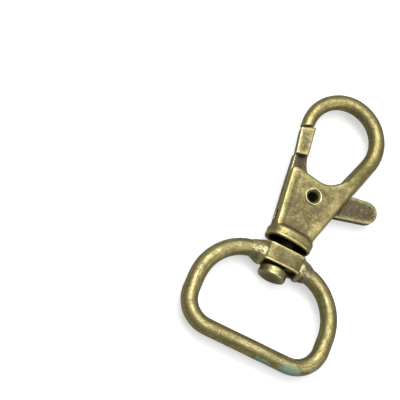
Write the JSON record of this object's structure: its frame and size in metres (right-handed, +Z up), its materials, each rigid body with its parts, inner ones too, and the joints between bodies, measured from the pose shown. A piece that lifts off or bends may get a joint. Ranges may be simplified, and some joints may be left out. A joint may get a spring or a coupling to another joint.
{
  "type": "swivel trigger snap hook",
  "caption": "Lobster-claw snap hook with a sprung gate and thumb tab, turning on a stud in the eye of a wire D-ring.",
  "frame": {"origin": "centre of the bounding box's underside, with the clasp lying flat", "axes": "+Y along the clasp from the D-ring's bar to the hook's top, +X towards the thumb tab, +Z up through the thickness"},
  "size_m": [0.032, 0.0584, 0.0068],
  "materials": {
    "cast_brass": "antique brass plate on zinc casting, rubbed edges",
    "lever_brass": "antique brass plate, slightly darker",
    "wire_brass": "antique brass plated steel wire",
    "rivet_brass": "brighter rolled rivet",
    "spring_steel": "plain spring wire"
  },
  "bodies": {
    "hook": {"hook_body": "cast_brass", "pivot_rivet": "rivet_brass", "swivel_stud": "rivet_brass", "gate_spring": "spring_steel"},
    "gate": {"gate_lever": "lever_brass"},
    "ring": {"swivel_eye": "wire_brass", "ring_wire": "wire_brass", "weld_left": "wire_brass", "weld_right": "wire_brass"}
  },
  "joints": [
    {"name": "gate_hinge", "type": "hinge", "parent": "hook", "child": "gate", "pos_m": [-0.00064, 0.00501, 0.0034], "axis": [0, 0, -1], "range_deg": [0, 28], "stiffness_Nm_per_rad": 0.04, "springref_deg": -20.05, "deforming": ["gate_spring"]},
    {"name": "ring_swivel", "type": "hinge", "parent": "hook", "child": "ring", "pos_m": [-0.00064, -0.00889, 0.0034], "axis": [0, 1, 0], "continuous": true}
  ]
}
